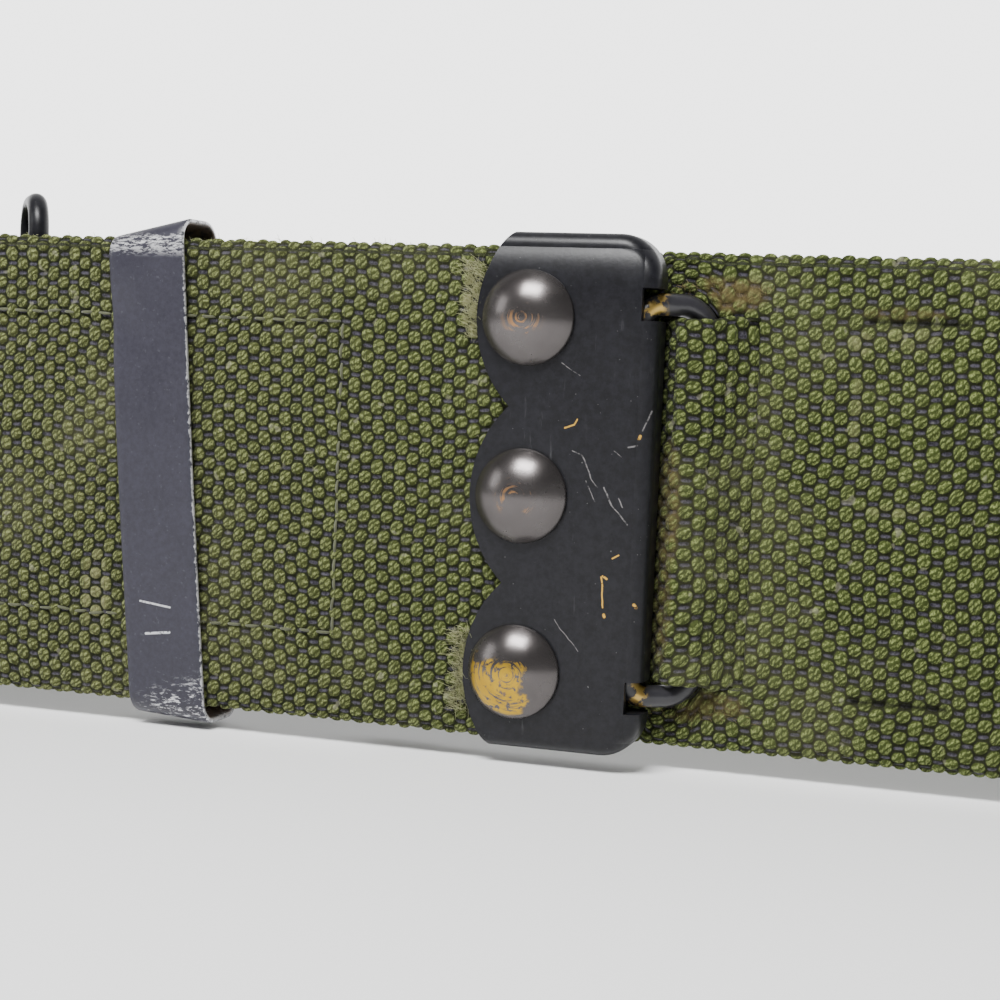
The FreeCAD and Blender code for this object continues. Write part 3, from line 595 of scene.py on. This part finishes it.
class Run:
    """The middle line of one half of the belt, from its front end round to the rear's middle."""

    def __init__(self, end_x, front_y, outer_x, side):
        self.side = side
        self.end_x = end_x
        self.front_y = front_y
        self.radius = (REAR_Y - front_y) / 2
        self.centre_x = outer_x - side * (self.radius + THICK / 2)
        self.centre_y = front_y + self.radius
        self.straight = abs(self.centre_x - end_x)
        self.bend = math.pi * self.radius
        self.length = self.straight + self.bend + abs(self.centre_x)
        columns = 2 * round(self.length / COLUMN / 2) + (side > 0)
        self.column = self.length / columns

    def at(self, s):
        """x, y and the outward normal at distances s from the end."""
        angle = np.clip((s - self.straight) / self.radius, 0, math.pi)
        past = np.maximum(0, s - self.straight - self.bend)
        before = np.minimum(0, s - self.straight)
        x = self.centre_x + self.side * (before + self.radius * np.sin(angle) - past)
        y = self.centre_y - self.radius * np.cos(angle)
        return x, y, self.side * np.sin(angle), -np.cos(angle)


def slit_depth(s, z, run):
    """0 to 1 in the slits of the closed slot pairs, on the half that has them."""
    total = np.zeros(np.broadcast(s, z).shape)
    if run.side < 0:
        return total
    near = np.clip(1.25 - abs(abs(z) - SLOT_OFFSET) / (0.42 * MM), 0, 1)
    for number in SLOT_NUMBERS:
        start = WINDOW_START - run.end_x + number * SLOT_PITCH
        to_end = np.minimum(s - start, start + SLOT_LENGTH - s)
        total = np.maximum(total, near * np.clip(to_end / (0.5 * MM), 0, 1))
    return total


def lip_rise(along):
    """How far a slit's outer lip is pushed open: over the claw's arm, then close round its curve."""
    turn_start = claw_high[0] - WINDOW_START - CLAW_CURVE
    past = np.clip((along - turn_start) / (CLAW_CURVE + 0.25 * MM), 0, 1)
    hug = CLAW_CURVE * np.sqrt(1 - past ** 2) + claw_high[2] - MIDDLE_Z - CLAW_CURVE - SLOT_OFFSET
    entry = np.clip(along / (0.8 * MM), 0, 1)
    return np.clip(np.minimum(hug + 0.12 * MM, WINDOW_OPEN), 0, None) * np.sqrt(entry)


def opened(s, z, out, window):
    """How far up or down each point moves where the claws push the slits open."""
    spread = lip_rise(s - window[0])
    outside = abs(z) >= SLOT_OFFSET - 1e-6
    share = np.clip((HALF_WIDTH - abs(z)) / (HALF_WIDTH - SLOT_OFFSET), 0, 1)
    near_lip = np.clip(1 - (abs(z) - SLOT_OFFSET) / (1.2 * MM), 0, 1)
    in_window = (s >= window[0]) & (s <= window[1]) & (out < 0)
    return np.sign(z) * outside * (spread * share - (spread + 1.1 * MM) * near_lip * in_window)


def woven(name, grid, faces, flat, material, weave, z, relief=1.0, slit=0.0, front=0.0):
    """Webbing mesh with the fields that its material reads; front is 1 where wear shows."""
    vertices = np.stack(np.broadcast_arrays(*grid), axis=-1)
    shape = vertices.shape[:2]
    x = vertices[..., 0]
    fields = {"relief": relief, "slit": slit, "pale": spots(x, z, PALE_PLACES) * front,
              "brown": spots(x, z, BROWN_PLACES) * front}
    attributes = {"weave": np.stack(np.broadcast_arrays(*weave), axis=-1).reshape(-1, 3)}
    for key, values in fields.items():
        attributes[key] = np.broadcast_to(values, shape).ravel()
    piece = new_object(name, vertices.reshape(-1, 3), faces, material, flat, attributes)
    return piece


def webbing_half(name, run, window, material):
    """One half of the belt as a closed strip whose front end carries real weave relief."""
    s = np.concatenate([np.arange(0, FINE_LENGTH, COLUMN / FINE_STEPS),
                        np.arange(FINE_LENGTH, FINE_LENGTH + FADE_LENGTH, COLUMN / 3),
                        np.arange(FINE_LENGTH + FADE_LENGTH, run.length, 2 * COLUMN), [run.length]])
    for mark in window:
        s[np.argmin(abs(s - mark))] = mark
    distance, height, out, up = section(FRONT_STEPS, BACK_STEPS, marks=(SLOT_OFFSET, -SLOT_OFFSET))
    faces = tube_faces(len(s), len(height), turned=run.side > 0)
    flat = 2
    if window:
        walls = window_walls(s, height, out, window)
        flat += len(walls)
        halfway = (s[:-1] + s[1:]) / 2
        in_s = (halfway > window[0]) & (halfway < window[1])
        in_z = (abs(out) == 1) & (abs(np.roll(out, -1)) == 1)
        in_z &= abs(height + np.roll(height, -1)) / 2 < SLOT_OFFSET
        gone = (in_s[:, None] & in_z).ravel()
        faces = [face for face, cut in zip(faces, gone) if not cut] + faces[-2:] + walls
    s = s[:, None]
    settle = np.clip((run.length - s) / SETTLE_LENGTH, 0, 1)
    drift_s, drift_p = wobble(s, height)
    u = (s + settle * drift_s) / run.column
    v = (distance + settle * drift_p) / ROW
    share = np.clip((FINE_LENGTH + FADE_LENGTH - s) / FADE_LENGTH, 0, 1)
    slit = slit_depth(s, height, run)
    sink = RELIEF * (1 - weave_relief(u, v)) * share + SLIT_SINK * slit
    lift = (EDGE_RADIUS - sink) * out
    x, y, normal_x, normal_y = run.at(s)
    x = x + normal_x * lift
    y = y + normal_y * lift
    z = MIDDLE_Z + height - sink * up
    if window:
        z = z + opened(s, height, out, window)
    far = np.clip((y - DROOP_Y[0]) / (DROOP_Y[1] - DROOP_Y[0]), 0, 1)
    z = z - REAR_DROOP * far * far * (3 - 2 * far)
    return woven(name, (x, y, z), faces, flat, material, (u, v, float(run.side)), height,
                 share, slit, (out > 0.2) & (y < FRONT_Y))


def window_walls(s, height, out, window):
    """Faces through the webbing round the opened slot pair's window."""
    points = len(height)
    first, last = (int(np.argmin(abs(s - mark))) for mark in window)
    sides = [[k for k in range(points) if out[k] == way] for way in (1, -1)]
    walls = []
    for sign in (1, -1):
        front, back = (min(side, key=lambda k: abs(height[k] - sign * SLOT_OFFSET)) for side in sides)
        for i in range(first, last):
            quad = [i * points + front, (i + 1) * points + front,
                    (i + 1) * points + back, i * points + back]
            walls.append(quad[::sign])
    inner = [k for side in sides for k in side if abs(height[k]) <= SLOT_OFFSET + 1e-6]
    walls.append([first * points + k for k in inner][::-1])
    walls.append([last * points + k for k in inner])
    return walls


def tongue(run, material):
    """The webbing between the opened slits, arched forwards over the claws' tips."""
    span = WINDOW_END - WINDOW_START
    overlap = 0.5 * MM
    x = np.append(np.arange(-overlap, span - 0.1 * MM, COLUMN / FINE_STEPS), span)[:, None]
    share = np.clip(x / span, 0, 1)
    rise = TONGUE_RISE * np.maximum(np.sin(math.pi * share ** TONGUE_LEAN), 0) ** TONGUE_ROUND
    slope = np.gradient(rise, x[:, 0], axis=0)
    length = np.sqrt(1 + slope ** 2)
    walk = np.append(0, np.cumsum(np.hypot(np.diff(x, axis=0), np.diff(rise, axis=0))))[:, None]
    s = WINDOW_END - run.end_x + walk - walk[-1]
    distance, height, out, up = section(FRONT_STEPS, BACK_STEPS, TONGUE_HALF, TONGUE_THICK / 2)
    distance = np.where(out > -0.2, FLAT_HALF - height, distance)
    drift_s, drift_p = wobble(s, height)
    u = (s + drift_s) / run.column
    v = (distance + drift_p) / ROW
    sink = RELIEF * (1 - weave_relief(u, v)) * (1 - 0.7 * abs(up))
    lift = (TONGUE_THICK / 2 - sink) * out
    past_claw = np.clip((x + WINDOW_START - claw_high[0] + 0.2 * MM) / (1.2 * MM), 0, 1)
    wider = 0.5 * MM * past_claw * np.sign(height) * (abs(height) > TONGUE_HALF - 2 * MM)
    grid = (WINDOW_START + x - slope / length * lift,
            tail_low[1] + THICK / 2 - rise - lift / length,
            MIDDLE_Z + height + wider - sink * up)
    return woven("slot_tongue", grid, tube_faces(len(x), len(height), turned=True), 2, material,
                 (u, v, 1.0), height, front=out > 0.2)


def flat_webbing(name, node, material, radius):
    """A straight length of webbing in the place of a CAD box, woven on both sides."""
    low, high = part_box(node)
    x = np.arange(low[0], high[0] + COLUMN / 8, COLUMN / 4)[:, None]
    distance, height, out, up = section(4, 4, (high[2] - low[2]) / 2, radius)
    drift_s, drift_p = wobble(x * 1.1, height)
    u = (x - low[0] + drift_s) / COLUMN
    v = (distance + drift_p) / ROW
    sink = RELIEF * (1 - weave_relief(u, v))
    squash = (high[1] - low[1]) / (2 * radius)
    grid = (x, (low[1] + high[1]) / 2 + (radius - sink) * out * squash,
            MIDDLE_Z + height - sink * up)
    return woven(name, grid, tube_faces(len(x), len(height)), 2, material, (u, v, 1.0), height)


# ---------------------------------------------------------------- metal pieces

keeper_low, keeper_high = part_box("keeper")
KEEPER_X = middle("keeper")[0]
KEEPER_TILT = math.radians(4.7)  # its top leans left
KEEPER_WIDTH = 10.2 * MM
KEEPER_SHEET = 0.7 * MM
KEEPER_HALF_HEIGHT = 31.35 * MM
KEEPER_CORNER = 2.6 * MM      # radius of its folds
KEEPER_FLARE = 0.75 * MM      # how much further out the right edge's folds stand than the left's
DENT_PLACE = (-4.2 * MM, 20.0 * MM)  # across and up from its middle
DENT_REACH = (2.6 * MM, 3.6 * MM)
DENT_DEPTH = 0.45 * MM
LEFT_EDGE_WEAR = 0.955        # as a share of the right edge's


def keeper_piece(material):
    """Bent steel strip round the strap, a little taller along its right edge."""
    half_y = (keeper_high[1] - keeper_low[1]) / 2 - KEEPER_SHEET / 2
    half_z = KEEPER_HALF_HEIGHT - KEEPER_SHEET / 2
    inner_y = half_y - KEEPER_CORNER
    inner_z = half_z - KEEPER_CORNER
    outline = []
    for centre, start in (((inner_y, inner_z), 0), ((-inner_y, inner_z), 90),
                          ((-inner_y, -inner_z), 180), ((inner_y, -inner_z), 270)):
        outline += arc(centre, KEEPER_CORNER, start, start + 90, 12)
        if start in (90, 270):
            side = -1 if start == 90 else 1
            begin = outline[-1][1]
            outline += [(side * half_y, z) for z in np.linspace(begin, -begin, 40)[1:-1]]
    route = np.array(outline)
    step = np.roll(route, -1, axis=0) - np.roll(route, 1, axis=0)
    step /= np.linalg.norm(step, axis=1)[:, None]
    normal = np.stack([step[:, 1], -step[:, 0]], axis=1)
    sheet = KEEPER_SHEET / 2
    half_x = KEEPER_WIDTH / 2
    lip = 0.06 * MM
    round_in = 0.22 * MM
    spread = np.linspace(-half_x + round_in, half_x - round_in, 14)
    rim = ((half_x - lip, sheet * 0.7), (half_x, 0), (half_x - lip, -sheet * 0.7))
    ring = [(x, sheet, abs(x) / half_x) for x in spread]
    ring += [(x, out, 1.0) for x, out in rim]
    ring += [(x, -sheet, abs(x) / half_x) for x in spread[::-1]]
    ring += [(-x, -out, 1.0) for x, out in rim]
    vertices, edge, inner = [], [], []
    y_middle = (keeper_low[1] + keeper_high[1]) / 2
    for (y, z), (ny, nz) in zip(route, normal):
        for across, out, share in ring:
            turn = across / half_x - (1.5 if z > 0 else 0.9)
            flare = 1 + KEEPER_FLARE * turn / KEEPER_HALF_HEIGHT
            bow = 0.15 * MM * math.cos(3 * z / KEEPER_HALF_HEIGHT) * (1 if y < 0 else -1)
            local_z = (z + nz * out) * flare
            x = across * math.cos(KEEPER_TILT) - local_z * math.sin(KEEPER_TILT)
            height = across * math.sin(KEEPER_TILT) + local_z * math.cos(KEEPER_TILT)
            if y < 0:
                reach = math.hypot((across - DENT_PLACE[0]) / DENT_REACH[0],
                                   (z - DENT_PLACE[1]) / DENT_REACH[1])
                bow -= DENT_DEPTH * math.exp(-reach * reach)
            vertices.append((KEEPER_X + x, y_middle + y + ny * out - bow, MIDDLE_Z + height))
            edge.append(share if across > 0 else LEFT_EDGE_WEAR * share)
            inner.append(1.0 if out < 0 else 0.0)
    faces = tube_faces(len(route), len(ring), turned=True, closed=True)
    piece = new_object("worn_keeper", vertices, faces, material,
                       attributes={"edge": edge, "inner": inner})
    return piece


def cap_piece(node, material):
    """Pressed dome with a soft rim, turned about the rivet's axis."""
    low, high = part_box(node)
    centre = middle(node)
    radius = (high[0] - low[0]) / 2
    height = high[1] - low[1]
    rim = 0.13 * height
    profile = [(radius - 0.5 * MM, 0.0), (radius - 0.12 * MM, 0.0), (radius - 0.02 * MM, 0.05 * MM),
               (radius, 0.16 * MM), (radius - 0.03 * MM, rim)]
    dome = height - rim
    ball = (radius ** 2 + dome ** 2) / (2 * dome)
    start = math.asin(radius / ball)
    for share in np.linspace(0.04, 0.985, 22):
        angle = start * (1 - share)
        profile.append((ball * math.sin(angle), height - ball + ball * math.cos(angle)))
    sides = 72
    vertices = []
    for distance, out in profile:
        for k in range(sides):
            a = 2 * math.pi * k / sides
            vertices.append((centre[0] + distance * math.cos(a), high[1] - out,
                             centre[2] + distance * math.sin(a)))
    faces = tube_faces(len(profile), sides)[:-1]
    top = (len(profile) - 1) * sides
    faces += [[top + k, top + (k + 1) % sides, len(vertices)] for k in range(sides)]
    vertices.append((centre[0], high[1] - height, centre[2]))
    piece = new_object(node + "_dome", vertices, faces, material)
    return piece


# ---------------------------------------------------------------- thread and fibres

STITCH = 2.35 * MM            # one stitch to the next
STITCH_BOW = 0.30 * MM        # how far a stitch's middle stands above its ends
STITCH_DEPTH = 0.36 * MM      # how deep its ends lie in the webbing
THREAD_RADIUS = 0.19 * MM
FIBRE_RADIUS = 0.028 * MM


def stitches(name, lines, face_y, out, material, body):
    """Rows of short bowed stitches lying on a face of the webbing."""
    vertices, faces = [], []
    rings = sides = 7
    for start, end in lines:
        start, end = Vector(start), Vector(end)
        count = round((end - start).length / STITCH)
        step = (end - start) / count
        direction = step.normalized()
        other = Vector((-direction[1], direction[0]))
        for number in range(count):
            jitter = random.normal(0, 0.12 * MM, 2)
            begin = start + step * (number + 0.12)
            finish = start + step * (number + 0.88)
            faces += tube_faces(rings, sides, len(vertices))
            for share in np.linspace(0, 1, rings):
                point = begin.lerp(finish, share)
                bow = math.sin(math.pi * share) ** 0.6
                size = THREAD_RADIUS * (0.55 + 0.45 * bow)
                depth = face_y + out * (STITCH_BOW * bow - STITCH_DEPTH)
                for k in range(sides):
                    a = 2 * math.pi * k / sides
                    across = other * (math.cos(a) * size)
                    vertices.append((point[0] + across[0] + jitter[0] * share,
                                     depth + math.sin(a) * size,
                                     MIDDLE_Z + point[1] + across[1] + jitter[1] * share))
    piece = new_object(name, vertices, faces, material)
    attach(piece, body)


def fibres(name, places, count, length, material, body):
    """Loose curled fibres rooted at random in boxes given as (low corner, high corner, lean)."""
    vertices, faces = [], []
    rings, sides = 6, 3
    for number in range(count):
        low, high, lean = places[number % len(places)]
        root = Vector([random.uniform(a, b) for a, b in zip(low, high)])
        direction = (Vector(lean) + Vector(random.normal(0, 0.55, 3))).normalized()
        curl = Vector(random.normal(0, 0.9, 3))
        size = length * random.uniform(0.35, 1.0)
        faces += tube_faces(rings, sides, len(vertices))
        for share in np.arange(rings) / (rings - 1):
            point = root + direction * size * share + curl * size * share * share * 0.6
            thickness = FIBRE_RADIUS * (1 - 0.6 * share)
            for k in range(sides):
                a = 2 * math.pi * k / sides
                vertices.append((point[0] + thickness * math.cos(a),
                                 point[1] + thickness * math.sin(a),
                                 point[2] + thickness * math.sin(a + 1)))
    piece = new_object(name, vertices, faces, material)
    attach(piece, body)


# ---------------------------------------------------------------- the object

webbing = webbing_material("olive_webbing")
thread = thread_material()
fuzz = fuzz_material("frayed_fibre", rgb(0.20, 0.21, 0.09), rgb(0.42, 0.42, 0.24))
brown_fuzz = fuzz_material("soiled_fibre", rgb(0.06, 0.045, 0.016), rgb(0.20, 0.15, 0.06))
painted = black_paint("black_paint", scratches=True)
plain_paint = black_paint("plain_black_paint")
brass = brass_material()
claw_paint = wire_material()

left_run = Run(strap_high[0], (strap_low[1] + strap_high[1]) / 2, rear_low[0], -1)
right_run = Run(tail_low[0], (tail_low[1] + tail_high[1]) / 2, rear_high[0], 1)
left_half = webbing_half("webbing_buckle_half", left_run, (), webbing)
window = (WINDOW_START - tail_low[0], WINDOW_END - tail_low[0])
right_half = webbing_half("webbing_tail_half", right_run, window, webbing)


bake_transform(left_half)
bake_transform(right_half)
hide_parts("buckle_strap", "belt_webbing_rear")
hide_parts("tail_strap", "belt_webbing_rear")

slot_tongue = tongue(right_run, webbing)
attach(slot_tongue, "tail_end")
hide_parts("slot_bridge")

patch = flat_webbing("sewn_patch", "reinforcing_patch", webbing, 1.2 * MM)
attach(patch, "buckle_end")
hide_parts("reinforcing_patch")

keeper = keeper_piece(keeper_material())
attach(keeper, "keeper")
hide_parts("keeper")

for place, bare in (("top", False), ("middle", False), ("bottom", True)):
    node = "rivet_cap_" + place
    cap = cap_piece(node, cap_material("blackened_cap_" + place, node, bare))
    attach(cap, "buckle_end")
    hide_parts(node)

NODE_MATERIALS = {
    "buckle_plate": painted, "clamp_plate": plain_paint, "tail_tip": plain_paint,
    "hanger_clip": plain_paint, "hanger_loop": plain_paint, "claw_loop": claw_paint,
    "hanger_rivets": brass}
for place in ("top", "middle", "bottom"):
    NODE_MATERIALS["rivet_post_" + place] = brass
    NODE_MATERIALS["rivet_burr_" + place] = brass
for node, material in NODE_MATERIALS.items():
    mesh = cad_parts[node].data
    if not mesh.materials:
        mesh.materials.append(material)
    for index in range(len(mesh.materials)):
        mesh.materials[index] = material

# The patch is sewn down along a box, set in from the webbing's edges and the patch's ends.
patch_low, patch_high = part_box("reinforcing_patch")
top_line = HALF_WIDTH - 9.6 * MM
low_line = 10.9 * MM - HALF_WIDTH
box_end = patch_high[0] - 2.2 * MM
box_start = patch_low[0] + 0.8 * MM
box_corners = ((box_start, top_line), (box_end, top_line), (box_end, low_line), (box_start, low_line))
box_lines = list(zip(box_corners, box_corners[1:] + box_corners[:1]))
stitches("patch_stitching_front", box_lines, strap_low[1], -1, thread, "buckle_end")
stitches("patch_stitching_back", box_lines, patch_high[1], 1, thread, "buckle_end")

front_y = strap_low[1]
lobe_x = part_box("buckle_plate")[0][0]
frayed = [((lobe_x - 1.6 * MM, front_y - 0.1 * MM, MIDDLE_Z + 18 * MM),
           (lobe_x + 0.6 * MM, front_y + 0.3 * MM, MIDDLE_Z + 27 * MM), (-0.6, -0.8, 0.4)),
          ((lobe_x - 1.4 * MM, front_y - 0.1 * MM, MIDDLE_Z - 26 * MM),
           (lobe_x + 0.4 * MM, front_y + 0.3 * MM, MIDDLE_Z - 16 * MM), (-0.6, -0.8, -0.2))]
fibres("frayed_fibres_buckle", frayed, 1000, 1.4 * MM, fuzz, "buckle_end")
lip_z = SLOT_OFFSET + 3.1 * MM
slot_edge = [((WINDOW_START + 1 * MM, tail_low[1] - 0.1 * MM, MIDDLE_Z + sign * lip_z - 0.8 * MM),
              (WINDOW_END + 2 * MM, tail_low[1] + 0.4 * MM, MIDDLE_Z + sign * lip_z + 0.8 * MM),
              (0.1, -0.7, -0.6 * sign)) for sign in (1, -1)]
fibres("frayed_fibres_slot", slot_edge, 140, 1.1 * MM, brown_fuzz, "tail_end")
selvage = [((strap_low[0], front_y + 0.3 * MM, MIDDLE_Z + HALF_WIDTH - 0.4 * MM),
            (lobe_x, strap_high[1], MIDDLE_Z + HALF_WIDTH - 0.1 * MM), (0, 0, 1))]
fibres("selvage_fibres", selvage, 90, 0.7 * MM, fuzz, "buckle_end")


# ---------------------------------------------------------------- stage, light and camera

bpy.ops.mesh.primitive_plane_add(size=400, location=(0, 0, 0))
floor = bpy.context.object
floor.name = "floor"
floor_material = Nodes("pale_floor").surface(Base_Color=rgb(0.93, 0.93, 0.93), Roughness=0.7)
floor.data.materials.append(floor_material)

# The sky is brighter behind the belt and dimmer overhead.
n = Nodes("studio", bpy.data.worlds)
direction = n.axes(n.add("ShaderNodeTexCoord").outputs["Generated"])
rear_light = n.smooth(direction[1], -0.1, 0.6, 0.22, 3.4)
high_light = n.smooth(direction[2], 0.25, 0.6, 1.0, 0.3)
n.fill(n.tree.nodes["Background"], Color=rgb(1.0, 1.0, 1.0), Strength=n.times(rear_light, high_light))
bpy.context.scene.world = n.owner


def area_light(name, place, target, size, power):
    light = bpy.data.lights.new(name, "AREA")
    light.shape = "RECTANGLE"
    light.size, light.size_y = size
    light.energy = power
    lamp = bpy.data.objects.new(name, light)
    lamp.location = place
    lamp.rotation_euler = (Vector(target) - Vector(place)).to_track_quat("-Z", "Y").to_euler()
    bpy.context.collection.objects.link(lamp)


area_light("key", (-0.05, -0.50, 0.62), (0, -0.09, 0.03), (0.35, 0.22), 11.0)
area_light("fill", (-0.8, -0.5, 0.35), (0, -0.09, 0.03), (0.3, 0.4), 1.5)

CAMERA_YAW = math.radians(18.05)
CAMERA_RISE = math.radians(4.12)
CAMERA_ROLL = math.radians(2.37)
CAMERA_DISTANCE = 225.4 * MM
CAMERA_LENS = 70.0
AIM = Vector((-0.24 * MM, strap_low[1] - 1.0 * MM, MIDDLE_Z - 0.65 * MM))

camera_data = bpy.data.cameras.new("camera")
camera_data.lens = CAMERA_LENS
camera_data.sensor_width = 36.0
camera_data.clip_start = 0.01
camera = bpy.data.objects.new("camera", camera_data)
bpy.context.collection.objects.link(camera)
back = Vector((math.sin(CAMERA_YAW) * math.cos(CAMERA_RISE),
               -math.cos(CAMERA_YAW) * math.cos(CAMERA_RISE), math.sin(CAMERA_RISE)))
camera.location = AIM + back * CAMERA_DISTANCE
facing = (-back).to_track_quat("-Z", "Y").to_matrix()
roll = Matrix.Rotation(CAMERA_ROLL, 3, back)
camera.rotation_euler = (roll @ facing).to_euler()
bpy.context.scene.camera = camera
